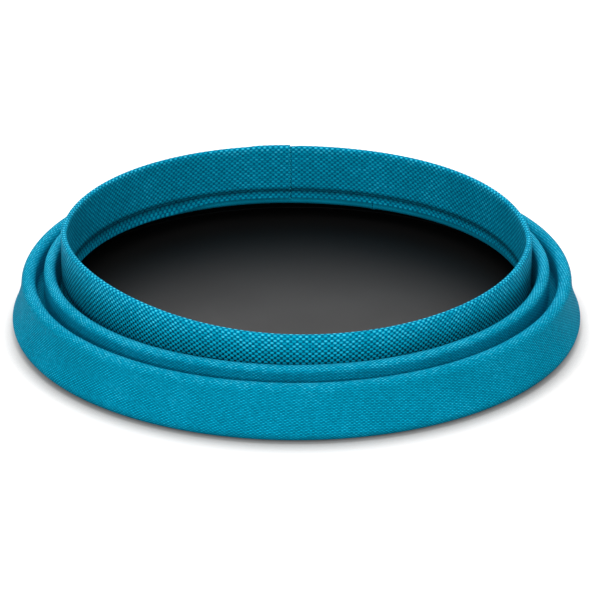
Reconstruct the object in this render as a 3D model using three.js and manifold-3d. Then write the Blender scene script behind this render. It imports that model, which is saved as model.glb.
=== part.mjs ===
// A collapsible cloth bowl folded flat: a stiffened base, pleated walls in nested tiers and a webbing rim.
// Millimetres, +Z up. The origin is at the centre of the underside, and the front of the bowl faces -Y.
import * as THREE from "three";
import { mergeVertices } from "three/addons/utils/BufferGeometryUtils.js";
import Module from "manifold-3d";

const wasm = await Module();
wasm.setup();

// Driving dimensions: sheet thicknesses
const clothThickness = 0.8;
const webbingThickness = 0.6;
const boardThickness = 1.2;
const floorThickness = 0.8;
const tapeThickness = 0.3;

// Base and lower wall
const baseDiameter = 210; // across the rolled bottom edge, the widest part of the bowl
const baseRoll = 2.9; // outer radius of the rolled bottom edge
const lowerRidgeInset = 3.6; // lower ridge's outer face, inside the widest part
const waistHeight = 10.9; // where the lower wall bends from its flare towards upright
const waistFlare = 0.3; // how far that bend stands outside the lower ridge

// Pleats, from the base to the rim
const foldHeight = 7.2; // clear height between the floor and the folds above it
const lowerFoldDepth = 9.8; // from the lower ridge's crest down to the underside of its fold
const lowerRoll = 2.6; // outer radius of the lower ridge
const lowerGroove = 3.1; // open gap between the lower ridge and the middle wall
const upperFoldDepth = 13; // from the upper ridge's crest down to the underside of its fold
const upperRoll = 2.2; // outer radius of the upper ridge

// Rim band
const rimBandHeight = 23.5; // from the underside of the upper fold to the top of the rim
const webbingLift = 1.6; // how far the webbing's edges stop above the underside of the upper fold
const stitchDrop = 18; // from the top of the rim to the stitched groove
const stitchWidth = 1; // width of the stitched groove
const stitchDepth = 0.3; // depth of the stitched groove
const lapLength = 12; // how far one end of the webbing laps over the other, at the back
const lapThickness = 0.5; // what the lap adds to each face
const lapEdge = -2.5; // x of the lap's free edge
const rimPull = 2.4; // how far the rim's front quarters sit inside a true circle
const rimRise = 1.5; // how much higher those front quarters stand
const rimTilt = 1.4; // how much higher the rim's left side stands, and lower its right side

// Seam tape around the floor
const tapeOnFloor = 6;
const tapeOnWall = 5;

// Clearances
const sewnGap = 0.1; // between layers that are sewn or laid together
const seamGap = 0.2; // between the cloth bands where they meet at a fold line
const edgeGap = 0.3; // around the edges of the floor and its board
const rimClearance = 0.3; // between the lap and the upper fold

// Fineness of the round forms
const ringSegments = 56;
const quarterSteps = 3;
const flareSteps = 4;

// Radii worked inwards from the widest part; a face is the woven side of a cloth
const baseRollCentre = baseDiameter / 2 - baseRoll;
const lowerRidgeFace = baseDiameter / 2 - lowerRidgeInset;
const lowerRidgeCentre = lowerRidgeFace - lowerRoll;
const lowerFoldFace = lowerRidgeCentre - lowerRoll;
const middleFace = lowerFoldFace - lowerGroove;
const upperRidgeCentre = middleFace - upperRoll;
const upperFoldFace = upperRidgeCentre - upperRoll;
const rimFace = upperFoldFace - rimClearance - lapThickness;
const upperWallFace = rimFace - webbingThickness - sewnGap;
const rimRoll = webbingThickness + sewnGap + clothThickness / 2;
const rimCentre = rimFace - rimRoll;

// Heights worked upwards from the surface that the bowl stands on
const boardBottom = clothThickness + sewnGap;
const floorBottom = boardBottom + boardThickness + sewnGap;
const floorTop = floorBottom + floorThickness;
const foldBottom = floorTop + foldHeight;
const lowerRidgeHeight = foldBottom + lowerFoldDepth - lowerRoll;
const upperRidgeHeight = foldBottom + upperFoldDepth - upperRoll;
const rimTop = foldBottom + rimBandHeight;
const rimRollHeight = rimTop - rimRoll;
const webbingBottom = foldBottom + webbingLift;
const stitchHeight = rimTop - stitchDrop;

// The grooves at the bottoms of the two folds, as circles that the woven faces follow
const lowerValley = valley(lowerFoldFace, middleFace);
const upperValley = valley(upperFoldFace, upperWallFace);

function valley(foldFace, wallFace) {
  const radius = (foldFace - wallFace) / 2;
  const height = foldBottom + clothThickness + radius;
  return { centre: wallFace + radius, height, radius };
}

// Outlines in the meridian plane: x is the radius and y the height
function point(radius, height) {
  return new THREE.Vector2(radius, height);
}

// Points on a circle, with angles in degrees from the outward direction
function arc(centre, height, radius, from, to, steps) {
  return Array.from({ length: steps + 1 }, (unused, i) => {
    const angle = THREE.MathUtils.degToRad(from + ((to - from) * i) / steps);
    return point(centre + radius * Math.cos(angle), height + radius * Math.sin(angle));
  });
}

// Half of the gap at a fold line, as an angle in degrees on a roll of the given radius
function seamAngle(radius) {
  return THREE.MathUtils.radToDeg(Math.asin(seamGap / 2 / radius));
}

// Directions along a path; at its ends the neighbour's direction is mirrored in the chord, as on an arc
function towards(from, to) {
  return to.clone().sub(from).normalize();
}

function mirrored(direction, chord) {
  return chord.clone().multiplyScalar(2 * direction.dot(chord)).sub(direction);
}

function directions(path) {
  const inner = path.slice(2).map((after, i) => towards(path[i], after));
  const first = mirrored(inner[0], towards(path[0], path[1]));
  const last = mirrored(inner.at(-1), towards(path.at(-2), path.at(-1)));
  return [first, ...inner, last];
}

// A path moved sideways to the left of its direction
function offset(path, distance) {
  return directions(path).map((along, i) => {
    return point(path[i].x - along.y * distance, path[i].y + along.x * distance);
  });
}

// A closed outline between a woven face and its coated side
function sheet(face, thickness) {
  return [...face, ...offset(face, thickness).reverse()];
}

// A solid ring or disc from an outline that runs anticlockwise
function turned(outline) {
  const closed = [...outline, outline[0].clone()];
  return new THREE.LatheGeometry(closed, ringSegments).rotateX(Math.PI / 2);
}

function disc(radius, bottom, thickness) {
  const top = bottom + thickness;
  return turned([point(0, bottom), point(radius, bottom), point(radius, top), point(0, top)]);
}

// Joins and cuts between closed geometries
function solidOf(geometry) {
  const bare = geometry.clone().deleteAttribute("normal").deleteAttribute("uv");
  const merged = mergeVertices(bare);
  const vertProperties = merged.getAttribute("position").array;
  const triVerts = new Uint32Array(merged.index.array);
  return new wasm.Manifold(new wasm.Mesh({ numProp: 3, vertProperties, triVerts }));
}

function geometryOf(solid) {
  const mesh = solid.getMesh();
  const geometry = new THREE.BufferGeometry();
  geometry.setAttribute("position", new THREE.BufferAttribute(mesh.vertProperties, 3));
  geometry.setIndex(new THREE.BufferAttribute(mesh.triVerts, 1));
  geometry.computeVertexNormals();
  return geometry;
}

// The rim band sits a little out of round and out of level, and the upper fold follows it by a share
const quarterPeak = (3 * Math.sqrt(3)) / 2; // brings the bulge below to 1 at its peak

// How strongly a direction belongs to the front quarters, from 0 to 1
function frontQuarter(x, y) {
  const front = Math.max(0, -y / Math.hypot(x, y));
  return quarterPeak * front * (1 - front * front);
}

function settled(geometry, shareAt) {
  const position = geometry.getAttribute("position");
  for (let i = 0; i < position.count; i++) {
    const x = position.getX(i);
    const y = position.getY(i);
    const z = position.getZ(i);
    const share = shareAt(z);
    const quarter = frontQuarter(x, y);
    const drawn = 1 - (share * rimPull * quarter) / Math.hypot(x, y);
    const lift = rimRise * quarter - (rimTilt * x) / rimCentre;
    position.setXYZ(i, x * drawn, y * drawn, z + share * lift);
  }
  geometry.computeVertexNormals();
  return geometry;
}

function wholeShare() {
  return 1;
}

function foldShare(height) {
  const span = upperRidgeHeight - upperValley.height;
  return THREE.MathUtils.clamp((upperRidgeHeight - height) / span, 0, 1);
}

// Lower wall: round the bottom edge, up the flare and over to the crest of the lower ridge
function lowerWallPath() {
  const bend = point(lowerRidgeFace + waistFlare, waistHeight);
  const toBend = bend.clone().sub(point(baseRollCentre, baseRoll));
  const tangent = Math.atan2(toBend.y, toBend.x) - Math.acos(baseRoll / toBend.length());
  const rollEnd = THREE.MathUtils.radToDeg(tangent);
  const roll = arc(baseRollCentre, baseRoll, baseRoll, -90, rollEnd, quarterSteps);
  const crest = 90 - seamAngle(lowerRoll);
  const ridge = arc(lowerRidgeCentre, lowerRidgeHeight, lowerRoll, 0, crest, quarterSteps);
  const flare = new THREE.QuadraticBezierCurve(roll.at(-1), bend, ridge[0]).getPoints(flareSteps);
  return [...roll, ...flare.slice(1), ...ridge.slice(1)];
}

// A fold: from the crest of its ridge down to the bottom of its groove
function foldPath(ridgeCentre, ridgeHeight, roll, groove) {
  const crest = 90 + seamAngle(roll);
  const bottom = -90 + seamAngle(groove.radius);
  const ridge = arc(ridgeCentre, ridgeHeight, roll, crest, 180, quarterSteps);
  const turn = arc(groove.centre, groove.height, groove.radius, 0, bottom, quarterSteps);
  return [...ridge, ...turn];
}

// The near side of a groove, from its bottom up to the foot of the next wall
function groovePath(groove) {
  const bottom = -90 - seamAngle(groove.radius);
  return arc(groove.centre, groove.height, groove.radius, bottom, -180, quarterSteps);
}

function middleWallPath() {
  const crest = 90 - seamAngle(upperRoll);
  const ridge = arc(upperRidgeCentre, upperRidgeHeight, upperRoll, 0, crest, quarterSteps);
  return [...groovePath(lowerValley), ...ridge];
}

// The upper wall stops inside the webbing, level with the centre of its rounded top
function upperWallPath() {
  return [...groovePath(upperValley), point(upperWallFace, rimRollHeight - sewnGap)];
}

// Radius of the lower wall's coated side at a height
const lowerWallFace = lowerWallPath();
const lowerWallInside = offset(lowerWallFace, clothThickness);

function insideRadius(height) {
  const above = lowerWallInside.findIndex((p) => p.y > height);
  const upper = lowerWallInside[above];
  const lower = lowerWallInside[above - 1];
  return THREE.MathUtils.mapLinear(height, lower.y, upper.y, lower.x, upper.x);
}

// Seam tape: flat on the floor, then up the coated side of the lower wall
function floorSeamTape() {
  const foot = floorTop + sewnGap;
  const flat = point(insideRadius(foot) - tapeOnFloor, foot);
  const heights = Array.from({ length: flareSteps + 1 }, (unused, i) => foot + (tapeOnWall * i) / flareSteps);
  const upright = heights.map((height) => point(insideRadius(height) - seamGap, height));
  return turned(sheet([flat, ...upright], tapeThickness));
}

// Webbing: one strip folded over the rim, grooved on both faces where it is sewn
function stitchGroove(face, inwards) {
  const depth = inwards * stitchDepth;
  const half = stitchWidth / 2;
  return [point(face, stitchHeight - half), point(face + depth, stitchHeight), point(face, stitchHeight + half)];
}

// One side of the folded strip, at a distance outside its visible face, up one leg and down the other
function foldedStrip(outwards) {
  const reach = rimRoll + outwards;
  const over = arc(rimCentre, rimRollHeight, reach, 0, 180, 2 * quarterSteps);
  return [point(rimCentre + reach, webbingBottom), ...over, point(rimCentre - reach, webbingBottom)];
}

function rimWebbing() {
  const face = foldedStrip(0);
  const outerGroove = stitchGroove(rimFace, -1);
  const innerGroove = stitchGroove(rimCentre - rimRoll, 1).reverse();
  const grooved = [face[0], ...outerGroove, ...face.slice(1, -1), ...innerGroove, face.at(-1)];
  const lining = foldedStrip(-webbingThickness).reverse();
  const strip = solidOf(turned([...grooved, ...lining]));

  const bite = (stitchDepth + webbingThickness) / 2; // the lap reaches below the groove it covers
  const lapRing = turned([...foldedStrip(lapThickness), ...foldedStrip(-bite).reverse()]);
  const span = new THREE.BoxGeometry(lapLength, baseDiameter / 2, 2 * rimTop);
  span.translate(lapEdge - lapLength / 2, baseDiameter / 2, rimTop);
  const lap = solidOf(lapRing).intersect(solidOf(span));
  return geometryOf(strip.add(lap));
}

// Finishes
const wovenTeal = { color: 0x0b86a8, roughness: 0.75, metalness: 0 };
const webbingTeal = { color: 0x0a7f9f, roughness: 0.7, metalness: 0 };
const coatedTeal = { color: 0x07607c, roughness: 0.45, metalness: 0 };
const satinBlack = { color: 0x141414, roughness: 0.4, metalness: 0 };
const boardGrey = { color: 0x55585a, roughness: 0.6, metalness: 0 };

const bowl = new THREE.Group();

function add(name, geometry, finish) {
  const mesh = new THREE.Mesh(geometry, new THREE.MeshStandardMaterial(finish));
  mesh.name = name;
  bowl.add(mesh);
}

// Base and lower wall
add("base_cloth", disc(baseRollCentre - seamGap, 0, clothThickness), wovenTeal);
add("base_board", disc(baseRollCentre - edgeGap, boardBottom, boardThickness), boardGrey);
const floorRadius = Math.min(insideRadius(floorBottom), insideRadius(floorTop)) - edgeGap;
add("floor_panel", disc(floorRadius, floorBottom, floorThickness), satinBlack);
add("floor_seam_tape", floorSeamTape(), coatedTeal);
add("lower_wall", turned(sheet(lowerWallFace, clothThickness)), wovenTeal);

// Middle tier and the folds on either side of it
const lowerFold = foldPath(lowerRidgeCentre, lowerRidgeHeight, lowerRoll, lowerValley);
add("lower_fold", turned(sheet(lowerFold, clothThickness)), wovenTeal);
add("middle_wall", turned(sheet(middleWallPath(), clothThickness)), wovenTeal);
const upperFold = foldPath(upperRidgeCentre, upperRidgeHeight, upperRoll, upperValley);
add("upper_fold", settled(turned(sheet(upperFold, clothThickness)), foldShare), wovenTeal);

// Rim tier
add("upper_wall", settled(turned(sheet(upperWallPath(), clothThickness)), wholeShare), wovenTeal);
add("rim_webbing", settled(rimWebbing(), wholeShare), webbingTeal);

export default bowl;
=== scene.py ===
"""Looks of a collapsible cloth bowl, folded flat: pleated woven walls, a webbing rim and a satin floor."""
import math

import bpy
import numpy as np
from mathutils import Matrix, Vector


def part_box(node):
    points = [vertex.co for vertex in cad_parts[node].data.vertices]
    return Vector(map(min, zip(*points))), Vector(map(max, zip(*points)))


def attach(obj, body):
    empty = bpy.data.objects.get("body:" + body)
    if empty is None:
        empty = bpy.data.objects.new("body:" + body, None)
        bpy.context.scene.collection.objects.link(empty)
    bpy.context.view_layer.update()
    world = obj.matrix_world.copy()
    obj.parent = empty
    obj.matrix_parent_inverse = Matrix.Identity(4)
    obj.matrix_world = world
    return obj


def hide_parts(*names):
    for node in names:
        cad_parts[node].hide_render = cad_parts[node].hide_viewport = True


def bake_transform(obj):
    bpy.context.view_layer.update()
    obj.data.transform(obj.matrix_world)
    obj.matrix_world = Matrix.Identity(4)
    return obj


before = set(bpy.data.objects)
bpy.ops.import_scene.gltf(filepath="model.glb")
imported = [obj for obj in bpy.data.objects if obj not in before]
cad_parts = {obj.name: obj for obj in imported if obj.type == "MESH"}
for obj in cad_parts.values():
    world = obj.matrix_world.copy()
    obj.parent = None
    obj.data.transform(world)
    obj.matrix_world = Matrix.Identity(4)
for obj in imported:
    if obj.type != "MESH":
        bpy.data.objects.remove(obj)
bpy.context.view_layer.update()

# Sizes are in millimetres, angles in degrees from +X towards +Y, and meshes in metres
MM = 0.001


# Heights and radii that the frame gives
def top_of(node):
    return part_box(node)[1].z / MM


def foot_of(node):
    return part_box(node)[0].z / MM


def reach_of(node):
    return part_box(node)[1].x / MM


BOTTOM_RADIUS = reach_of("base_cloth")
BOTTOM_THICKNESS = top_of("base_cloth")
FLOOR_TOP = top_of("floor_panel")
TAPE_RADIUS = reach_of("floor_seam_tape")
TAPE_TOP = top_of("floor_seam_tape")
FOLD_BOTTOM = foot_of("lower_fold")
LOWER_CREST = top_of("lower_wall")
UPPER_CREST = top_of("middle_wall")

# Wall cloth
BASE_DIAMETER = 210.0
CLOTH_THICKNESS = 0.8
BASE_ROLL = 2.9  # outer radius of the rolled bottom edge
LOWER_RIDGE_INSET = 3.6  # lower ridge's face, inside the widest part
WAIST_HEIGHT = 10.9  # where the lower wall bends from its flare towards upright
WAIST_FLARE = 0.3
LOWER_ROLL = 2.6  # outer radius of the lower ridge
LOWER_GROOVE = 3.1  # open gap between the lower ridge and the middle wall
UPPER_ROLL = 2.2  # outer radius of the upper ridge
UPPER_GROOVE = 0.8  # open gap between the upper fold and the webbing
UPPER_FOLD_SAG = 0.9  # how much deeper the upper fold hangs
LOWER_RIDGE_RISE = 0.45  # how much higher the lower ridge stands at the back
CLOTH_SEAM = 70.0  # where the wall cloth is closed into a ring
SEAM_PINCH = 0.3  # how far its two ends are turned in there
SEAM_WIDTH = 1.0  # degrees
CLOTH_GRAIN = 250.0  # where the yarns run level
CLOTH_CONE = 0.225  # how fast the flat-cut wall narrows towards the rim

# Webbing at the rim
WEBBING_THICKNESS = 0.45
WEBBING_STACK = 0.7  # webbing and the slack between it and the wall cloth
RIM_ROLL = 1.1  # outer radius of the fold over the rim
RIM_BAND_HEIGHT = 23.5  # from the underside of the upper fold to the top of the rim
WEBBING_LIFT = 2.15  # how far its edges stop above the underside of the upper fold
LOW_EDGE_DROP = 1.8  # how much lower its inner edge was sewn on the left
LOW_EDGE = (112.0, 124.0, 250.0, 330.0)  # where that drop starts, is full, and ends again
STITCH_DROP = 18.3  # from the top of the rim to the stitched groove
GROOVE_DEPTH = 0.4
GROOVE_WIDTH = 0.8
LAP_EDGE = 91.65  # where the upper end of the webbing is cut
WEBBING_LAP = 7.9
WEBBING_LAP_TAPER = 3.2
WEBBING_LAP_LIFT = 0.25
YARN_END_LIFT = 0.3  # middle of the cut yarn ends, off the webbing's path
YARN_END_LENGTH = 0.8
YARN_END_WIDTH = 0.4

# How the rim has settled
RIM_PULL = 2.2  # front quarters inside a true circle
RIM_ENDS = 1.2  # left and right ends inside it
RIM_TILT = 1.4  # left side higher, right side lower
FRONT_LEFT_RISE = 1.55
FRONT_RIGHT_RISE = 0.3
BACK_RIGHT_RISE = 0.9
FRONT_DROP = 0.55

# Seam tape and stitches
TAPE_THICKNESS = 0.3
TAPE_ON_FLOOR = 6.0
TAPE_GAP = 0.1
THREAD = 0.42
STITCH_PITCH = 3.0
STITCH_LENGTH = 2.5
BOTTOM_STITCH_INSET = 4.0
BOTTOM_DRAW = 0.24  # how far the stitches draw the bottom cloth up
SEAM_STITCH_TURN = 1.4  # degrees to each side of the wall cloth's seam

# Yarns
CLOTH_YARN = (0.83, 0.57)
WEBBING_YARN = (1.09, 0.94)

# Fineness
STEPS_AROUND = 400
ARC_STEPS = 12
STRAIGHT_STEP = 0.6
END_SHARE = 0.012  # a narrow first and last step on each arc keeps the shading level at the fold lines

# Radii, worked inwards from the widest part
BASE_RADIUS = BASE_DIAMETER / 2
LOWER_RIDGE_FACE = BASE_RADIUS - LOWER_RIDGE_INSET
LOWER_RIDGE = LOWER_RIDGE_FACE - LOWER_ROLL
LOWER_FOLD_FACE = LOWER_RIDGE - LOWER_ROLL
MIDDLE_FACE = LOWER_FOLD_FACE - LOWER_GROOVE
UPPER_RIDGE = MIDDLE_FACE - UPPER_ROLL
UPPER_FOLD_FACE = UPPER_RIDGE - UPPER_ROLL
RIM_FACE = UPPER_FOLD_FACE - UPPER_GROOVE
UPPER_WALL_FACE = RIM_FACE - WEBBING_STACK
RIM_CENTRE = RIM_FACE - RIM_ROLL
RIM_TOP = FOLD_BOTTOM + RIM_BAND_HEIGHT
RIM_ROLL_HEIGHT = RIM_TOP - RIM_ROLL
WEBBING_BOTTOM = FOLD_BOTTOM + WEBBING_LIFT
STITCH_HEIGHT = RIM_TOP - STITCH_DROP


class Groove:
    """The circle that the woven faces follow at the bottom of a fold."""

    def __init__(self, fold_face, wall_face, sag=0.0):
        self.radius = (fold_face - wall_face) / 2
        self.centre = wall_face + self.radius
        self.height = FOLD_BOTTOM - sag + CLOTH_THICKNESS + self.radius


LOWER_VALLEY = Groove(LOWER_FOLD_FACE, MIDDLE_FACE)
UPPER_VALLEY = Groove(UPPER_FOLD_FACE, UPPER_WALL_FACE, UPPER_FOLD_SAG)


# Paths in the meridian plane, as rows of radius and height
def arc(centre, height, radius, start, stop):
    even = np.linspace(0, 1, ARC_STEPS + 1)[1:-1]
    share = np.r_[0, END_SHARE, even, 1 - END_SHARE, 1]
    angle = np.radians(start + (stop - start) * share)
    return np.c_[centre + radius * np.cos(angle), height + radius * np.sin(angle)]


def straight(start, stop):
    start, stop = np.array(start, float), np.array(stop, float)
    steps = max(2, math.ceil(np.linalg.norm(stop - start) / STRAIGHT_STEP))
    return start + (stop - start) * np.linspace(0, 1, steps + 1)[:, None]


def curved(start, bend, stop):
    t = np.linspace(0, 1, 2 * ARC_STEPS + 1)[:, None]
    return (1 - t) ** 2 * start + 2 * t * (1 - t) * np.array(bend) + t**2 * stop


def joined(*parts):
    path = np.vstack(parts)
    apart = np.linalg.norm(np.diff(path, axis=0), axis=1) > 1e-6
    return path[np.r_[True, apart]]


def along(path):
    """Length of the path up to each of its points."""
    return np.r_[0, np.cumsum(np.linalg.norm(np.diff(path, axis=0), axis=1))]


def lower_wall_path():
    bend = np.array([LOWER_RIDGE_FACE + WAIST_FLARE, WAIST_HEIGHT])
    to_bend = bend - (BASE_RADIUS - BASE_ROLL, BASE_ROLL)
    tangent = math.atan2(to_bend[1], to_bend[0]) - math.acos(BASE_ROLL / np.linalg.norm(to_bend))
    roll = arc(BASE_RADIUS - BASE_ROLL, BASE_ROLL, BASE_ROLL, -90, math.degrees(tangent))
    ridge = arc(LOWER_RIDGE, LOWER_CREST - LOWER_ROLL, LOWER_ROLL, 0, 90)
    return joined(roll, curved(roll[-1], bend, ridge[0]), ridge)


def fold_path(ridge_centre, crest, roll, valley):
    ridge = arc(ridge_centre, crest - roll, roll, 90, 180)
    turn = arc(valley.centre, valley.height, valley.radius, 0, -90)
    return joined(ridge, straight(ridge[-1], turn[0]), turn)


def middle_wall_path():
    turn = arc(LOWER_VALLEY.centre, LOWER_VALLEY.height, LOWER_VALLEY.radius, -90, -180)
    ridge = arc(UPPER_RIDGE, UPPER_CREST - UPPER_ROLL, UPPER_ROLL, 0, 90)
    return joined(turn, straight(turn[-1], ridge[0]), ridge)


def upper_wall_path():
    turn = arc(UPPER_VALLEY.centre, UPPER_VALLEY.height, UPPER_VALLEY.radius, -90, -180)
    return joined(turn, straight(turn[-1], (UPPER_WALL_FACE, RIM_ROLL_HEIGHT)))


def wall_paths():
    """The wall's bands in order, from the bottom edge to the rim."""
    return {
        "lower_wall": lower_wall_path(),
        "lower_fold": fold_path(LOWER_RIDGE, LOWER_CREST, LOWER_ROLL, LOWER_VALLEY),
        "middle_wall": middle_wall_path(),
        "upper_fold": fold_path(UPPER_RIDGE, UPPER_CREST, UPPER_ROLL, UPPER_VALLEY),
        "upper_wall": upper_wall_path(),
    }


def pressed(path):
    """How deep the stitched groove is at each height."""
    return GROOVE_DEPTH * np.exp(-(((path[:, 1] - STITCH_HEIGHT) / GROOVE_WIDTH) ** 2))


def webbing_path():
    inner_face = RIM_CENTRE - RIM_ROLL
    outer = straight((RIM_FACE, WEBBING_BOTTOM), (RIM_FACE, RIM_ROLL_HEIGHT))
    outer[:, 0] -= pressed(outer)
    over = arc(RIM_CENTRE, RIM_ROLL_HEIGHT, RIM_ROLL, 0, 180)
    inner = straight((inner_face, RIM_ROLL_HEIGHT), (inner_face, WEBBING_BOTTOM))
    inner[:, 0] += pressed(inner)
    return joined(outer, over, inner)


def tape_path():
    """Flat on the floor, round the corner and up the coated side of the lower wall."""
    foot = FLOOR_TOP + TAPE_GAP
    corner = 1.0
    wall_foot = TAPE_RADIUS - TAPE_THICKNESS / 2
    turn = arc(wall_foot - corner, foot + corner, corner, -90, 0)
    flat = straight((wall_foot - TAPE_ON_FLOOR, foot), turn[0])
    leaning = straight(turn[-1], (LOWER_RIDGE_FACE - CLOTH_THICKNESS, TAPE_TOP))
    return joined(flat, turn, leaning)


# Nodes
class Nodes:
    """Short calls that add nodes to one tree."""

    def __init__(self, tree):
        self.tree = tree

    def add(self, kind, **settings):
        node = self.tree.nodes.new(kind)
        for name, value in settings.items():
            setattr(node, name, value)
        return node

    def put(self, socket, value):
        if isinstance(value, bpy.types.NodeSocket):
            self.tree.links.new(value, socket)
        elif value is not None:
            socket.default_value = value

    def math(self, operation, *values):
        node = self.add("ShaderNodeMath", operation=operation)
        for socket, value in zip(node.inputs, values):
            self.put(socket, value)
        return node.outputs[0]

    def call(self, kind, inputs, output=0, **settings):
        """A node with its inputs set by name, and one of its outputs."""
        node = self.add(kind, **settings)
        for name, value in inputs.items():
            self.put(node.inputs[name], value)
        return node.outputs[output]

    def ramp(self, value, low, high, start, stop):
        places = {"Value": value, "From Min": low, "From Max": high, "To Min": start, "To Max": stop}
        return self.call("ShaderNodeMapRange", places, interpolation_type="SMOOTHSTEP")

    def mix(self, share, first, second, blend="MIX"):
        node = self.add("ShaderNodeMix", data_type="RGBA", blend_type=blend)
        colours = [s for s in node.inputs if s.type == "RGBA"]
        self.put(node.inputs["Factor"], share)
        self.put(colours[0], first)
        self.put(colours[1], second)
        return next(s for s in node.outputs if s.type == "RGBA")


# Geometry trees
def new_tree(name, inputs):
    """An empty geometry tree with named inputs: (nodes, its input sockets by name, its output node)."""
    tree = bpy.data.node_groups.new(name, "GeometryNodeTree")
    tree.interface.new_socket("Geometry", in_out="INPUT", socket_type="NodeSocketGeometry")
    tree.interface.new_socket("Geometry", in_out="OUTPUT", socket_type="NodeSocketGeometry")
    for label, kind in inputs.items():
        tree.interface.new_socket(label, in_out="INPUT", socket_type=kind)
    n = Nodes(tree)
    given = n.add("NodeGroupInput").outputs
    return n, given, n.add("NodeGroupOutput")


def finish_tree(n, geometry, given, output):
    whole = n.call("GeometryNodeRealizeInstances", {"Geometry": geometry})
    painted = n.call("GeometryNodeSetMaterial", {"Geometry": whole, "Material": given["Material"]})
    n.put(output.inputs["Geometry"], painted)
    return n.tree


def turned_band_tree():
    """Turns a path into a band that can overlap itself, with its first and last end lifted off its path."""
    inputs = {
        "Start": "NodeSocketFloat",
        "Turn": "NodeSocketFloat",
        "Steps Around": "NodeSocketInt",
        "Lap": "NodeSocketFloat",
        "Taper": "NodeSocketFloat",
        "First Lift": "NodeSocketFloat",
        "Last Lift": "NodeSocketFloat",
        "Material": "NodeSocketMaterial",
    }
    n, given, output = new_tree("turned_band", inputs)
    path = given["Geometry"]
    count = n.call("GeometryNodeAttributeDomainSize", {"Geometry": path}, "Point Count")
    columns = n.math("ADD", given["Steps Around"], 1)
    grid = n.add("GeometryNodeMeshGrid")
    n.put(grid.inputs["Vertices X"], columns)
    n.put(grid.inputs["Vertices Y"], count)
    place = n.call("ShaderNodeSeparateXYZ", {"Vector": grid.outputs["UV Map"]}).node.outputs
    row = n.math("ROUND", n.math("MULTIPLY", place["Y"], n.math("SUBTRACT", count, 1)))
    angle = n.math("MULTIPLY_ADD", place["X"], given["Turn"], given["Start"])

    point = n.add("GeometryNodeSampleIndex", data_type="FLOAT_VECTOR")
    n.put(point.inputs["Geometry"], path)
    n.put(point.inputs["Value"], n.add("GeometryNodeInputPosition").outputs[0])
    n.put(point.inputs["Index"], row)
    meridian = n.call("ShaderNodeSeparateXYZ", {"Vector": point.outputs["Value"]}).node.outputs
    turned = {
        "X": n.math("MULTIPLY", meridian["X"], n.math("COSINE", angle)),
        "Y": n.math("MULTIPLY", meridian["X"], n.math("SINE", angle)),
        "Z": meridian["Z"],
    }
    position = n.call("ShaderNodeCombineXYZ", turned)
    band = n.call("GeometryNodeSetPosition", {"Geometry": grid.outputs["Mesh"], "Position": position})

    length = n.add("GeometryNodeSampleIndex", data_type="FLOAT")
    n.put(length.inputs["Geometry"], path)
    stored = n.call("GeometryNodeInputNamedAttribute", {"Name": "along"}, data_type="FLOAT")
    n.put(length.inputs["Value"], stored)
    n.put(length.inputs["Index"], row)
    for name, value in (("around", angle), ("along", length.outputs["Value"])):
        band = n.call("GeometryNodeStoreNamedAttribute", {"Geometry": band, "Name": name, "Value": value},
                      data_type="FLOAT", domain="POINT")

    lap_end = n.math("ADD", given["Start"], given["Lap"])
    settled_end = n.math("ADD", lap_end, given["Taper"])
    under_start = n.math("SUBTRACT", n.math("ADD", given["Start"], given["Turn"]), given["Lap"])
    settled_start = n.math("SUBTRACT", under_start, given["Taper"])
    over = n.ramp(angle, lap_end, settled_end, given["First Lift"], 0.0)
    under = n.ramp(angle, settled_start, under_start, 0.0, given["Last Lift"])
    lift = n.math("ADD", over, under)
    outwards = n.add("ShaderNodeVectorMath", operation="SCALE")
    n.put(outwards.inputs[0], n.add("GeometryNodeInputNormal").outputs[0])
    n.put(outwards.inputs["Scale"], lift)
    lapped = n.call("GeometryNodeSetPosition", {"Geometry": band, "Offset": outwards.outputs[0]})
    return finish_tree(n, lapped, given, output)


def stitch_row_tree():
    """Sets rounded stitches end to end along a path."""
    inputs = {
        "Pitch": "NodeSocketFloat",
        "Length": "NodeSocketFloat",
        "Thread": "NodeSocketFloat",
        "Seed": "NodeSocketInt",
        "Material": "NodeSocketMaterial",
    }
    n, given, output = new_tree("stitch_row", inputs)
    line = n.call("GeometryNodeMeshToCurve", {"Mesh": given["Geometry"]})
    spaced = n.call("GeometryNodeResampleCurve", {"Curve": line, "Length": given["Pitch"]}, mode="LENGTH")
    stitch = n.call("GeometryNodeMeshUVSphere", {"Segments": 8, "Rings": 6, "Radius": 0.5})
    uneven = n.call("FunctionNodeRandomValue", {"Seed": given["Seed"]}, "Value", data_type="FLOAT")
    size = {
        "X": n.math("MULTIPLY", given["Length"], n.ramp(uneven, 0.0, 1.0, 0.92, 1.04)),
        "Y": given["Thread"],
        "Z": given["Thread"],
    }
    tangent = n.add("GeometryNodeInputTangent").outputs[0]
    heading = n.call("FunctionNodeAlignRotationToVector", {"Vector": tangent}, axis="X")
    sewn = n.call("GeometryNodeInstanceOnPoints", {
        "Points": spaced,
        "Instance": stitch,
        "Rotation": heading,
        "Scale": n.call("ShaderNodeCombineXYZ", size),
    })
    return finish_tree(n, sewn, given, output)


def made_by(tree, name, start, values):
    """The plain mesh that a tree makes from a starting mesh, on a new object at the origin."""
    source = bpy.data.objects.new(name, start)
    bpy.context.scene.collection.objects.link(source)
    modifier = source.modifiers.new(tree.name, "NODES")
    modifier.node_group = tree
    sockets = {s.name: s.identifier for s in tree.interface.items_tree if s.in_out == "INPUT"}
    for label, value in values.items():
        modifier[sockets[label]] = value
    graph = bpy.context.evaluated_depsgraph_get()
    made = bpy.data.meshes.new_from_object(source.evaluated_get(graph), depsgraph=graph)
    source.modifiers.remove(modifier)
    source.data = made
    bpy.data.meshes.remove(start)
    made.name = name
    made.shade_smooth()
    return source


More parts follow.
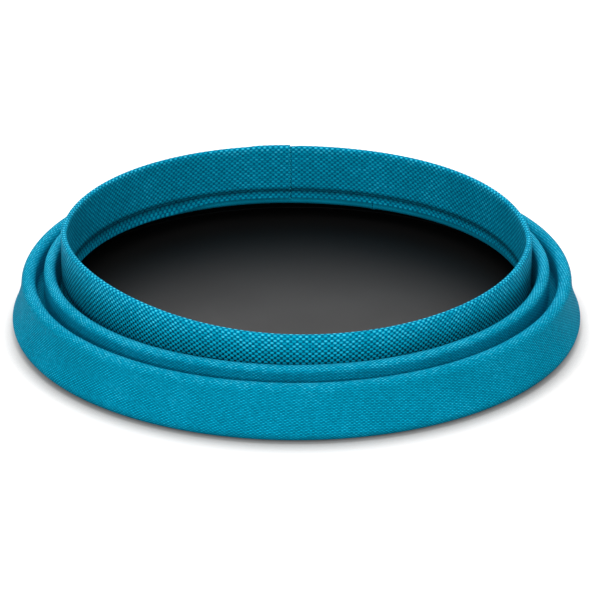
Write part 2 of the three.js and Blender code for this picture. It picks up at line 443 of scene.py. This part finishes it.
def wire(name, *lines, closed=False):
    """A mesh of edges along lines of points in millimetres."""
    edges = []
    first = 0
    for line in lines:
        last = first + len(line) - 1
        edges += [(i, i + 1) for i in range(first, last)]
        if closed:
            edges.append((last, first))
        first = last + 1
    mesh = bpy.data.meshes.new(name)
    mesh.from_pydata((np.vstack(lines) * MM).tolist(), edges, [])
    return mesh


def path_mesh(name, path):
    mesh = wire(name, np.c_[path[:, 0], np.zeros(len(path)), path[:, 1]])
    lengths = mesh.attributes.new("along", "FLOAT", "POINT")
    lengths.data.foreach_set("value", along(path) * MM)
    return mesh


# Vertex places, in millimetres
def places(mesh):
    flat = np.zeros(len(mesh.vertices) * 3)
    mesh.vertices.foreach_get("co", flat)
    return flat.reshape(-1, 3) / MM


def move_to(mesh, points):
    mesh.vertices.foreach_set("co", (points * MM).ravel())
    mesh.update()


def values_of(mesh, name):
    values = np.zeros(len(mesh.vertices), np.float32)
    mesh.attributes[name].data.foreach_get("value", values)
    return values.astype(float)


def smooth(value, start, stop):
    t = np.clip((value - start) / (stop - start), 0, 1)
    return t * t * (3 - 2 * t)


def quarter(side):
    """1 in the middle of each quarter on one side of the bowl, and 0 at the ends of the quarters."""
    near = np.clip(side, 0, None)
    return 1.5 * math.sqrt(3) * near * (1 - near**2)


def settled(points, share):
    """Points moved as the rim has settled, by a share of it."""
    x, y, z = points.T
    radius = np.hypot(x, y)
    front, back = quarter(-y / radius), quarter(y / radius)
    inwards = RIM_PULL * front + RIM_ENDS * (x / radius) ** 4
    lift = np.where(x < 0, FRONT_LEFT_RISE, FRONT_RIGHT_RISE) * front
    lift += np.where(x < 0, 0, BACK_RIGHT_RISE) * back
    lift -= FRONT_DROP * np.clip(-y / radius, 0, None) ** 2 + RIM_TILT * x / radius
    drawn = 1 - share * inwards / radius
    return np.c_[x * drawn, y * drawn, z + share * lift]


def fold_share(points):
    """How much of the rim's settling reaches the upper fold, from none at its ridge to all at its groove."""
    ridge = UPPER_CREST - UPPER_ROLL
    return np.clip((ridge - points[:, 2]) / (ridge - UPPER_VALLEY.height), 0, 1)


def whole_share(points):
    return np.ones(len(points))


def no_share(points):
    return np.zeros(len(points))


def set_map(mesh, across, up):
    """The piece's own map for its weave, in metres along and across the yarns."""
    layer = mesh.uv_layers.new(name="weave")
    corners = np.zeros(len(mesh.loops), np.int32)
    mesh.loops.foreach_get("vertex_index", corners)
    layer.data.foreach_set("uv", np.c_[across, up][corners].ravel())


def sharpen_edges(mesh):
    """Keeps the shading of a sheet's faces apart from that of its cut edges."""
    edges = np.zeros(len(mesh.loops), np.int32)
    mesh.loops.foreach_get("edge_index", edges)
    uses = np.bincount(edges, minlength=len(mesh.edges))
    sharp = mesh.attributes.new("sharp_edge", "BOOLEAN", "EDGE")
    sharp.data.foreach_set("value", uses == 1)


def thicken(piece, thickness, lining):
    """Gives a sheet its thickness on the side away from its face, with a lining material there."""
    sharpen_edges(piece.data)
    piece.data.materials.append(lining)
    solid = piece.modifiers.new("thickness", "SOLIDIFY")
    solid.thickness = thickness * MM
    solid.offset = -1
    solid.material_offset = 1
    return piece


# Finishes
def surface(name):
    """A new material: (material, nodes, shader)."""
    material = bpy.data.materials.new(name)
    material.use_nodes = True
    n = Nodes(material.node_tree)
    shader = next(x for x in material.node_tree.nodes if x.type == "BSDF_PRINCIPLED")
    return material, n, shader


def yarn_map(n, yarn):
    place = n.add("ShaderNodeUVMap", uv_map="weave").outputs["UV"]
    counts = (1 / (yarn[0] * MM), 1 / (yarn[1] * MM), 1)
    return n.call("ShaderNodeMapping", {"Vector": place, "Scale": counts})


def rounded(n, offset, fill):
    """Height of a round yarn across its width."""
    reach = n.math("MULTIPLY", offset, 2 * fill)
    return n.math("SQRT", n.math("MAXIMUM", n.math("SUBTRACT", 1, n.math("MULTIPLY", reach, reach)), 0))


def plain_weave(n, counts, low, slant, thin, crimp=1.0):
    """Height of a plain weave whose level yarns stand proud, and the cell of each crossing."""
    split = n.call("ShaderNodeSeparateXYZ", {"Vector": counts}).node.outputs
    column = n.math("FLOOR", split["X"])
    row = n.math("FLOOR", split["Y"])
    in_column = n.math("SUBTRACT", n.math("SUBTRACT", split["X"], column), 0.5)
    in_row = n.math("SUBTRACT", n.math("SUBTRACT", split["Y"], row), 0.5)
    checker = n.math("FLOORED_MODULO", n.math("ADD", column, row), 2)
    side = n.math("MULTIPLY_ADD", checker, -1.0, 0.5)
    level_wave = n.math("MULTIPLY", side, n.math("COSINE", n.math("MULTIPLY", in_column, math.pi)))
    upright_wave = n.math("MULTIPLY", side, n.math("COSINE", n.math("MULTIPLY", in_row, math.pi)))
    twisted = n.math("MULTIPLY_ADD", in_column, -slant, in_row)
    bent = n.math("MULTIPLY_ADD", level_wave, crimp, 1 - crimp / 2)
    level = n.math("MULTIPLY", rounded(n, twisted, thin), bent)
    upright = n.math("MULTIPLY", rounded(n, in_column, 0.92), n.math("SUBTRACT", 0.5, upright_wave))
    height = n.math("MAXIMUM", level, n.math("MULTIPLY", upright, low))
    yarn = n.call("ShaderNodeCombineXYZ", {"X": column, "Y": row})
    return height, yarn


def cloud(n, scale, detail=2.0):
    place = n.add("ShaderNodeTexCoord").outputs["Object"]
    return n.call("ShaderNodeTexNoise", {"Vector": place, "Scale": scale, "Detail": detail}, "Fac")


def near_line(n, value, line, width):
    """1 on a line across the map, falling to 0 at a distance in millimetres."""
    apart = n.math("ABSOLUTE", n.math("SUBTRACT", value, line * MM))
    return n.ramp(apart, 0.0, width * MM, 1.0, 0.0)


def shaded_lines(n, lines):
    """Painted light and shade along the map's lines: each has its axis, place, width and gain or loss."""
    place = n.add("ShaderNodeUVMap", uv_map="weave").outputs["UV"]
    split = n.call("ShaderNodeSeparateXYZ", {"Vector": place}).node.outputs
    reach = n.add("ShaderNodeVectorMath", operation="LENGTH")
    n.put(reach.inputs[0], place)
    axes = {"X": split["X"], "Y": split["Y"], "R": reach.outputs["Value"]}
    kept = 1.0
    for axis, line, width, gain in lines:
        change = n.math("MULTIPLY", near_line(n, axes[axis], line, width), gain)
        kept = n.math("MULTIPLY", kept, n.math("ADD", 1.0, change))
    return kept


def across_webbing(n):
    """How far a point is across the webbing, from its outer edge over the rim to its inner edge."""
    place = n.add("ShaderNodeUVMap", uv_map="weave").outputs["UV"]
    return n.call("ShaderNodeSeparateXYZ", {"Vector": place}, "Y")


def painted_fold_light(n, fold):
    """Painted light and shade on the webbing: palest along its fold over the rim, darker down its outer face
    and a little darker on its inner face.
    """
    place = across_webbing(n)
    outer = n.ramp(place, (fold - 11) * MM, (fold - 1) * MM, 0.95, 1.3)
    inner = n.ramp(place, (fold + 1) * MM, (fold + 4) * MM, 0.0, 0.28)
    return n.math("SUBTRACT", outer, inner)


def painted_gap_shade(n, fold, deep, lighter_shade):
    """Painted shade in the hollows between the webbing's yarns, lighter inside and at the fold."""
    share = n.ramp(across_webbing(n), (fold - 12) * MM, (fold + 3) * MM, 0.0, 1.0)
    return n.mix(share, deep, lighter_shade)


# pale colour of a painted highlight on the yarn tops
PAINTED_HIGHLIGHT_YARN = (0.12, 0.72, 0.86, 1)
# lighter painted shade in the webbing's hollows, used inside and at the fold
LIGHTER_GAP_SHADE = (0.0, 0.115, 0.23, 1)


def woven(name, yarn, shape, full, colours, depth, gloss, lines=(), fold=None):
    """Teal plain weave: painted shade in the gaps, in full colour from a height on, a painted highlight on
    the yarns' crests.
    """
    # the gap colour is painted shade in the hollows, the crest colour a painted highlight on the yarn tops
    gap, body, crest = colours
    material, n, shader = surface(name)
    if fold is not None:
        gap = painted_gap_shade(n, fold, gap, LIGHTER_GAP_SHADE)
    height, crossing = plain_weave(n, yarn_map(n, yarn), **shape)
    uneven = n.call("ShaderNodeTexWhiteNoise", {"Vector": crossing}, "Value", noise_dimensions="2D")
    filled = n.mix(n.ramp(height, 0.14, full, 0.0, 1.0), gap, body)
    lit = n.mix(n.ramp(height, 0.7, 1.0, 0.0, 1.0), filled, crest)
    patchy = n.ramp(cloud(n, 45.0), 0.3, 0.7, 0.93, 1.05)
    strength = n.math("MULTIPLY", patchy, n.ramp(uneven, 0.0, 1.0, 0.86, 1.1))
    strength = n.math("MULTIPLY", strength, shaded_lines(n, lines))
    # painted light and shade across the webbing
    if fold is not None:
        strength = n.math("MULTIPLY", strength, painted_fold_light(n, fold))
    tinted = n.call("ShaderNodeCombineXYZ", {"X": strength, "Y": strength, "Z": strength})
    # painted highlight: the yarn tops turn pale where the painted light is strongest
    highlight_share = n.math("MULTIPLY", n.ramp(strength, 1.05, 1.35, 0.0, 0.5), n.ramp(height, 0.6, 1.0, 0.0, 1.0))
    n.put(shader.inputs["Base Color"], n.mix(highlight_share, n.mix(1.0, lit, tinted, "MULTIPLY"), PAINTED_HIGHLIGHT_YARN))
    n.put(shader.inputs["Roughness"], n.ramp(height, 0.75, 1.0, 0.9, 0.3))
    bump = {"Height": height, "Distance": depth * MM, "Strength": 1.0}
    n.put(shader.inputs["Normal"], n.call("ShaderNodeBump", bump))
    shader.inputs["Specular IOR Level"].default_value = gloss
    shader.inputs["Specular Tint"].default_value = (0.7, 0.95, 1.0, 1.0)
    return material


def wall_cloth_finish():
    """Wall cloth, with a painted highlight along its ridges and painted shade in its grooves."""
    # painted highlight along each ridge
    gains = {"lower_wall": 0.22, "middle_wall": 0.36, "upper_wall": 0.22}
    # painted shade in the gaps, the yarn colour, and a painted highlight on the crests
    colours = (0.0, 0.05, 0.11, 1), (0.0, 0.25, 0.41, 1), (0.004, 0.45, 0.64, 1)
    lines = []
    flat_radius = BASE_RADIUS / CLOTH_CONE
    for node, path in wall_paths().items():
        flat_radius -= along(path)[-1]
        # ridge lines are a painted highlight, groove lines painted shade
        if node in gains:
            lines.append(("R", flat_radius, 4.5, gains[node]))
        else:
            lines.append(("R", flat_radius, 4.0, -0.15))
    shape = {"low": 0.5, "slant": 0.05, "thin": 1.05, "crimp": 0.42}
    return woven("woven_wall_cloth", CLOTH_YARN, shape, 0.7, colours, 0.045, 0.015, lines)


def webbing_finish():
    """Webbing, with painted shade along its stitched groove and beside its lap's cut edge."""
    # painted shade in the gaps, the yarn colour, and a painted highlight on the crests
    colours = (0.0, 0.004, 0.012, 1), (0.0, 0.315, 0.485, 1), (0.002, 0.37, 0.55, 1)
    path = webbing_path()
    lengths = along(path)
    half = len(path) // 2
    sewn = np.abs(path[:, 1] - STITCH_HEIGHT)
    outer = lengths[:half][np.argmin(sewn[:half])]
    inner = lengths[half:][np.argmin(sewn[half:])]
    under = math.radians(LAP_EDGE + 360) * RIM_CENTRE
    # painted shade along the stitched groove on both faces and beside the lap's cut edge
    lines = ("Y", outer, 1.4, -0.6), ("Y", inner, 2.2, -0.75), ("X", under - 0.3, 0.6, -0.3)
    fold = (outer + inner) / 2
    shape = {"low": 0.24, "slant": 0.0, "thin": 0.95, "crimp": 1.0}
    return woven("rim_webbing_weave", WEBBING_YARN, shape, 0.5, colours, 0.06, 0.035, lines, fold)


def coated_finish():
    """The smooth coated side of the cloth, with its weave showing through faintly."""
    material, n, shader = surface("coated_side")
    height = plain_weave(n, yarn_map(n, CLOTH_YARN), low=0.9, slant=0.0, thin=0.92)[0]
    shade = n.ramp(cloud(n, 60.0), 0.3, 0.7, 0.0, 1.0)
    n.put(shader.inputs["Base Color"], n.mix(shade, (0.0005, 0.22, 0.35, 1), (0.0005, 0.26, 0.41, 1)))
    n.put(shader.inputs["Roughness"], n.ramp(cloud(n, 300.0), 0.3, 0.7, 0.42, 0.5))
    bump = {"Height": height, "Distance": 0.02 * MM, "Strength": 1.0}
    n.put(shader.inputs["Normal"], n.call("ShaderNodeBump", bump))
    shader.inputs["Specular IOR Level"].default_value = 0.3
    shader.inputs["Specular Tint"].default_value = (0.15, 0.85, 1.0, 1.0)
    return material


def thread_finish():
    """Twisted sewing thread."""
    material, n, shader = surface("sewing_thread")
    place = n.add("ShaderNodeTexCoord").outputs["Object"]
    ply = n.call("ShaderNodeTexWave", {"Vector": place, "Scale": 900.0, "Distortion": 2.0}, "Fac",
                 bands_direction="DIAGONAL")
    n.put(shader.inputs["Base Color"], n.mix(ply, (0.0, 0.06, 0.11, 1), (0.0, 0.12, 0.2, 1)))
    n.put(shader.inputs["Roughness"], n.ramp(ply, 0.0, 1.0, 0.65, 0.5))
    n.put(shader.inputs["Normal"], n.call("ShaderNodeBump", {"Height": ply, "Distance": 0.05 * MM}))
    shader.inputs["Specular IOR Level"].default_value = 0.06
    return material


def yarn_end_finish():
    """Cut ends of the webbing's yarns, paler than its faces."""
    material, n, shader = surface("webbing_yarn_ends")
    fibre = cloud(n, 4000.0, 2.0)
    n.put(shader.inputs["Base Color"], n.mix(fibre, (0.005, 0.4, 0.58, 1), (0.02, 0.5, 0.7, 1)))
    n.put(shader.inputs["Roughness"], n.ramp(fibre, 0.3, 0.7, 0.55, 0.7))
    n.put(shader.inputs["Normal"], n.call("ShaderNodeBump", {"Height": fibre, "Distance": 0.08 * MM}))
    shader.inputs["Specular IOR Level"].default_value = 0.2
    return material


def satin_floor_finish():
    """Smooth satin black, with a very fine grain."""
    material, n, shader = surface("satin_black_floor")
    grain = cloud(n, 2500.0, 3.0)
    handled = cloud(n, 25.0, 3.0)
    n.put(shader.inputs["Base Color"], n.mix(handled, (0.003, 0.003, 0.003, 1), (0.004, 0.004, 0.004, 1)))
    n.put(shader.inputs["Roughness"], n.ramp(handled, 0.3, 0.7, 0.48, 0.52))
    n.put(shader.inputs["Normal"], n.call("ShaderNodeBump", {"Height": grain, "Distance": 0.01 * MM}))
    shader.inputs["Specular IOR Level"].default_value = 0.12
    shader.inputs["Specular Tint"].default_value = (1.0, 0.95, 0.93, 1.0)
    return material


def board_finish():
    """Grey fibre board."""
    material, n, shader = surface("fibre_board")
    fibre = cloud(n, 900.0, 4.0)
    n.put(shader.inputs["Base Color"], n.mix(fibre, (0.07, 0.07, 0.068, 1), (0.14, 0.14, 0.135, 1)))
    n.put(shader.inputs["Roughness"], n.ramp(fibre, 0.0, 1.0, 0.7, 0.9))
    n.put(shader.inputs["Normal"], n.call("ShaderNodeBump", {"Height": fibre, "Distance": 0.05 * MM}))
    return material


def tape_finish():
    """Smooth seam tape, bonded down with faint ripples."""
    material, n, shader = surface("bonded_tape")
    ripple = cloud(n, 120.0, 2.0)
    n.put(shader.inputs["Base Color"], n.mix(ripple, (0.003, 0.0045, 0.005, 1), (0.005, 0.0075, 0.0085, 1)))
    n.put(shader.inputs["Roughness"], n.ramp(ripple, 0.3, 0.7, 0.35, 0.5))
    n.put(shader.inputs["Normal"], n.call("ShaderNodeBump", {"Height": ripple, "Distance": 0.15 * MM}))
    shader.inputs["Specular IOR Level"].default_value = 0.12
    return material


# Finishes and trees that more than one piece uses
WOVEN = wall_cloth_finish()
WEBBING = webbing_finish()
COATED = coated_finish()
SEWING = thread_finish()
YARN_END = yarn_end_finish()
TAPE = tape_finish()

BAND_TREE = turned_band_tree()
STITCH_TREE = stitch_row_tree()


# Rows of stitches
def stitches(name, start, pitch=STITCH_PITCH, length=STITCH_LENGTH, thread=THREAD, finish=SEWING):
    return made_by(STITCH_TREE, name, start, {
        "Pitch": pitch * MM,
        "Length": length * MM,
        "Thread": thread * MM,
        "Seed": 7,
        "Material": finish,
    })


# Wall cloth
def cloth_map(mesh, before):
    """Maps a band as part of the wall's flat-cut panel, before being the length below it."""
    flat_radius = BASE_RADIUS / CLOTH_CONE - before - values_of(mesh, "along") / MM
    turn = (values_of(mesh, "around") - math.radians(CLOTH_GRAIN)) * CLOTH_CONE
    set_map(mesh, flat_radius * np.sin(turn) * MM, -flat_radius * np.cos(turn) * MM)


def slack(around, length):
    """How far the soft cloth wanders from its true shape."""
    slow = np.sin(3 * around + 0.7 + 0.05 * length) + 0.6 * np.sin(5 * around - 1.9 - 0.07 * length)
    quick = np.sin(11 * around + 2.6 + 0.1 * length)
    return 0.1 * slow + 0.04 * quick


def draped(points, around, length, share, rise):
    """Points of the wall moved as the cloth hangs: slack, higher behind and drawn by the rim."""
    loose = smooth(points[:, 2], FOLD_BOTTOM, LOWER_CREST) * slack(around, length)
    points[:, :2] *= (1 + loose / np.hypot(points[:, 0], points[:, 1]))[:, None]
    behind = smooth(points[:, 1] / np.hypot(points[:, 0], points[:, 1]), 0, 0.5)
    points[:, 2] += rise * behind * smooth(points[:, 2], FOLD_BOTTOM + 1, LOWER_CREST)
    points = settled(points, share(points))
    points[:, 2] = np.maximum(points[:, 2], 0)
    return points


def cloth_band(name, path, before, share, rise):
    """One band of the wall, from one fold line to the next."""
    band = made_by(BAND_TREE, name, path_mesh(name, path), {
        "Start": math.radians(CLOTH_SEAM),
        "Turn": math.radians(360),
        "Steps Around": STEPS_AROUND,
        "Lap": 0.0,
        "Taper": math.radians(SEAM_WIDTH),
        "First Lift": -SEAM_PINCH * MM,
        "Last Lift": -SEAM_PINCH * MM,
        "Material": WOVEN,
    })
    mesh = band.data
    cloth_map(mesh, before)
    length = before + values_of(mesh, "along") / MM
    move_to(mesh, draped(places(mesh), values_of(mesh, "around"), length, share, rise))
    thicken(band, CLOTH_THICKNESS, COATED)
    return band


def seam_stitches(name, path, before, share, rise):
    """A row of stitches on each side of the wall cloth's seam."""
    above_ground = path[:, 1] > STITCH_LENGTH
    path, length = path[above_ground], before + along(path)[above_ground]
    lines = []
    for side in (-1, 1):
        around = np.full(len(path), math.radians(CLOTH_SEAM + side * SEAM_STITCH_TURN))
        line = np.c_[path[:, 0] * np.cos(around), path[:, 0] * np.sin(around), path[:, 1]]
        lines.append(draped(line, around, length, share, rise))
    return stitches(name, wire(name, *lines))


def wall_cloth():
    shares = {"upper_fold": fold_share, "upper_wall": whole_share}
    carried = {"lower_wall": "base", "middle_wall": "middle_tier", "upper_wall": "rim_tier"}
    rises = {"lower_wall": LOWER_RIDGE_RISE, "lower_fold": LOWER_RIDGE_RISE}
    before = 0.0
    for node, path in wall_paths().items():
        share, rise = shares.get(node, no_share), rises.get(node, 0)
        band = cloth_band(node + "_cloth", path, before, share, rise)
        pieces = [band]
        if node != "upper_wall":
            pieces.append(seam_stitches(node + "_seam_stitches", path, before, share, rise))
        before += along(path)[-1]
        for piece in pieces:
            if node in carried:
                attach(piece, carried[node])
            else:
                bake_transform(piece)
        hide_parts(node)


# Webbing
def webbing():
    path = webbing_path()
    band = made_by(BAND_TREE, "rim_webbing_band", path_mesh("rim_webbing_band", path), {
        "Start": math.radians(LAP_EDGE),
        "Turn": math.radians(360 + WEBBING_LAP),
        "Steps Around": STEPS_AROUND,
        "Lap": math.radians(WEBBING_LAP),
        "Taper": math.radians(WEBBING_LAP_TAPER),
        "First Lift": WEBBING_LAP_LIFT * MM,
        "Last Lift": -WEBBING_LAP_LIFT * MM,
        "Material": WEBBING,
    })
    mesh = band.data
    around = values_of(mesh, "around")
    length = values_of(mesh, "along") / MM
    set_map(mesh, around * RIM_CENTRE * MM, length * MM)
    points = places(mesh)
    degrees = np.degrees(around)
    drop = smooth(degrees, *LOW_EDGE[:2]) - smooth(degrees, *LOW_EDGE[2:])
    inner = np.hypot(points[:, 0], points[:, 1]) < RIM_CENTRE
    below = np.clip((STITCH_HEIGHT - points[:, 2]) / (STITCH_HEIGHT - WEBBING_BOTTOM), 0, 1)
    points[:, 2] -= np.where(inner, LOW_EDGE_DROP * drop * below, 0)
    move_to(mesh, settled(points, 1))
    thicken(band, WEBBING_THICKNESS, WEBBING)
    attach(band, "rim_tier")
    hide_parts("rim_webbing")


# Stitches of the rim and the bottom
def ring(radius, height):
    angle = np.linspace(0, 2 * math.pi, STEPS_AROUND, endpoint=False)
    return np.c_[radius * np.cos(angle), radius * np.sin(angle), np.full(STEPS_AROUND, height)]


def rim_stitches():
    for name, face in (("outer", RIM_FACE - GROOVE_DEPTH), ("inner", RIM_CENTRE - RIM_ROLL + GROOVE_DEPTH)):
        line = settled(ring(face, STITCH_HEIGHT), 1)
        row = stitches(f"rim_stitches_{name}", wire(name, line, closed=True))
        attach(row, "rim_tier")


def bottom_stitches():
    line = ring(BOTTOM_RADIUS - BOTTOM_STITCH_INSET, BOTTOM_DRAW)
    row = stitches("bottom_stitches", wire("bottom_stitches", line, closed=True))
    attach(row, "base")


def lap_yarn_ends():
    """The ends of the level yarns along the cut edge of the webbing's lap."""
    path = webbing_path()
    half = len(path) // 2
    outwards = np.where(np.arange(len(path)) < half, 1, -1) * YARN_END_LIFT
    angle = math.radians(LAP_EDGE)
    over = path[:, 1] > RIM_ROLL_HEIGHT
    radius = path[:, 0] + np.where(over, 0, outwards)
    height = path[:, 1] + np.where(over, YARN_END_LIFT, 0)
    line = settled(np.c_[radius * math.cos(angle), radius * math.sin(angle), height], 1)
    start = wire("lap_yarn_ends", line)
    pitch = 2 * WEBBING_YARN[1]
    row = stitches("lap_yarn_ends", start, pitch, YARN_END_LENGTH, YARN_END_WIDTH, YARN_END)
    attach(row, "rim_tier")


# Bottom cloth
def bottom_cloth():
    """A round panel whose edge is drawn up where it is sewn."""
    sewn = BOTTOM_RADIUS - BOTTOM_STITCH_INSET
    near = sewn + np.linspace(-2, 2, 17)
    radii = np.r_[np.linspace(0, sewn - 3, 24)[1:], near, BOTTOM_RADIUS]
    angle = np.linspace(0, 2 * math.pi, 192, endpoint=False)
    points = [(0, 0, 0)]
    for radius in radii:
        height = BOTTOM_DRAW * math.exp(-(((radius - sewn) / GROOVE_WIDTH) ** 2))
        points += [(radius * math.cos(a), radius * math.sin(a), height) for a in angle]
    count = len(angle)
    faces = [(0, 1 + (i + 1) % count, 1 + i) for i in range(count)]
    for k in range(len(radii) - 1):
        inner = 1 + k * count
        outer = inner + count
        for i in range(count):
            j = (i + 1) % count
            faces.append((inner + i, inner + j, outer + j, outer + i))
    mesh = bpy.data.meshes.new("bottom_cloth")
    mesh.from_pydata((np.array(points) * MM).tolist(), [], faces)
    mesh.shade_smooth()
    piece = bpy.data.objects.new("bottom_cloth", mesh)
    bpy.context.scene.collection.objects.link(piece)
    mesh.materials.append(WOVEN)
    flat = places(mesh)
    set_map(mesh, flat[:, 0] * MM, flat[:, 1] * MM)
    thicken(piece, BOTTOM_THICKNESS, COATED)
    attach(piece, "base")
    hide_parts("base_cloth")


# Seam tape
def floor_tape():
    path = tape_path()
    band = made_by(BAND_TREE, "floor_tape", path_mesh("floor_tape", path), {
        "Start": math.radians(CLOTH_SEAM),
        "Turn": math.radians(360),
        "Steps Around": STEPS_AROUND // 2,
        "Lap": 0.0,
        "Taper": math.radians(SEAM_WIDTH),
        "First Lift": 0.0,
        "Last Lift": 0.0,
        "Material": TAPE,
    })
    thicken(band, TAPE_THICKNESS, TAPE)
    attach(band, "base")
    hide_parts("floor_seam_tape")


# Floor panel and base board
def dress(node, finish):
    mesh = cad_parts[node].data
    mesh.materials.clear()
    mesh.materials.append(finish)


# Camera, light and floor
VIEW_ELEVATION = 24.5
VIEW_DISTANCE = 1.5
VIEW_AIM = (1.3, 0.0, 7.28)
LENS = 242.6
CONTACT = 14.0  # how far the painted close shadow under the bowl reaches
FLOOR_GAP = 0.02
PAPER = (1.0, 0.965, 0.945, 1)  # slightly warm white


def make_camera():
    tilt = math.radians(VIEW_ELEVATION)
    data = bpy.data.cameras.new("camera")
    data.lens = LENS
    data.sensor_width = 36
    camera = bpy.data.objects.new("camera", data)
    bpy.context.scene.collection.objects.link(camera)
    camera.location = Vector((0, -math.cos(tilt), math.sin(tilt))) * VIEW_DISTANCE
    aim = Vector(VIEW_AIM) * MM - camera.location
    camera.rotation_euler = aim.to_track_quat("-Z", "Y").to_euler()
    bpy.context.scene.camera = camera


def soft_light(name, place, size, power):
    data = bpy.data.lights.new(name, "AREA")
    data.shape = "RECTANGLE"
    data.size, data.size_y = size
    data.energy = power
    light = bpy.data.objects.new(name, data)
    bpy.context.scene.collection.objects.link(light)
    light.location = place
    light.rotation_euler = (-Vector(place)).to_track_quat("-Z", "Y").to_euler()


def as_background(n):
    """1 where the background is seen, directly or in a reflection."""
    ray = n.add("ShaderNodeLightPath").outputs
    mirrored = n.math("MAXIMUM", ray["Is Glossy Ray"], ray["Is Transmission Ray"])
    return n.math("MAXIMUM", ray["Is Camera Ray"], mirrored)


def make_world():
    world = bpy.data.worlds.new("studio")
    world.use_nodes = True
    bpy.context.scene.world = world
    n = Nodes(world.node_tree)
    background = next(x for x in world.node_tree.nodes if x.type == "BACKGROUND")
    background.inputs["Color"].default_value = (1, 1, 1, 1)
    n.put(background.inputs["Strength"], n.ramp(as_background(n), 0.0, 1.0, 0.45, 1.0))


def make_floor():
    """A white floor with a painted close shadow that is darkest in front, see-through from below."""
    bpy.ops.mesh.primitive_plane_add(size=8, location=(0, 0, -FLOOR_GAP * MM))
    floor = bpy.context.object
    floor.name = "studio_floor"
    material, n, shader = surface("white_floor")
    shader.inputs["Roughness"].default_value = 1.0
    shader.inputs["Specular IOR Level"].default_value = 0.0
    shader.inputs["Emission Color"].default_value = (1, 1, 1, 1)
    # painted shadow: the floor darkens where the bowl is near, most in front of it
    open_sky = n.call("ShaderNodeAmbientOcclusion", {"Distance": CONTACT * MM}, "AO", samples=16)
    place = n.add("ShaderNodeTexCoord").outputs["Object"]
    ahead = n.call("ShaderNodeSeparateXYZ", {"Vector": place}, "Y")
    darkest = n.ramp(ahead, -0.065, 0.01, 0.25, 0.62)
    grey = n.ramp(open_sky, 0.5, 0.98, darkest, 0.9)
    shade = n.call("ShaderNodeCombineXYZ", {"X": grey, "Y": grey, "Z": grey})
    n.put(shader.inputs["Base Color"], n.mix(1.0, shade, PAPER, "MULTIPLY"))
    # glow for camera and mirror rays, held down in the painted shadow
    apart = n.add("ShaderNodeVectorMath", operation="LENGTH")
    n.put(apart.inputs[0], place)
    glow = n.math("MULTIPLY", grey, n.ramp(apart.outputs["Value"], 0.5, 2.5, 0.3, 1.0))
    lift = n.math("MULTIPLY", as_background(n), glow)
    n.put(shader.inputs["Emission Strength"], lift)
    under = n.add("ShaderNodeNewGeometry").outputs["Backfacing"]
    seen = n.add("ShaderNodeMixShader")
    n.put(seen.inputs["Fac"], under)
    n.put(seen.inputs[1], shader.outputs["BSDF"])
    n.put(seen.inputs[2], n.add("ShaderNodeBsdfTransparent").outputs["BSDF"])
    n.put(material.node_tree.nodes["Material Output"].inputs["Surface"], seen.outputs["Shader"])
    floor.data.materials.append(material)


# The whole scene
make_camera()
make_world()
make_floor()
soft_light("back_softbox", (-0.05, 1.2, 1.0), (1.4, 1.6), 20.0)
soft_light("front_softbox", (0.0, -0.9, 1.7), (1.6, 1.0), 16.5)
soft_light("front_spot", (-0.3, -1.4, 0.42), (0.15, 0.15), 5.0)
bpy.context.scene.view_settings.view_transform = "Standard"

wall_cloth()
webbing()
rim_stitches()
lap_yarn_ends()
bottom_cloth()
bottom_stitches()
floor_tape()
dress("floor_panel", satin_floor_finish())
dress("base_board", board_finish())
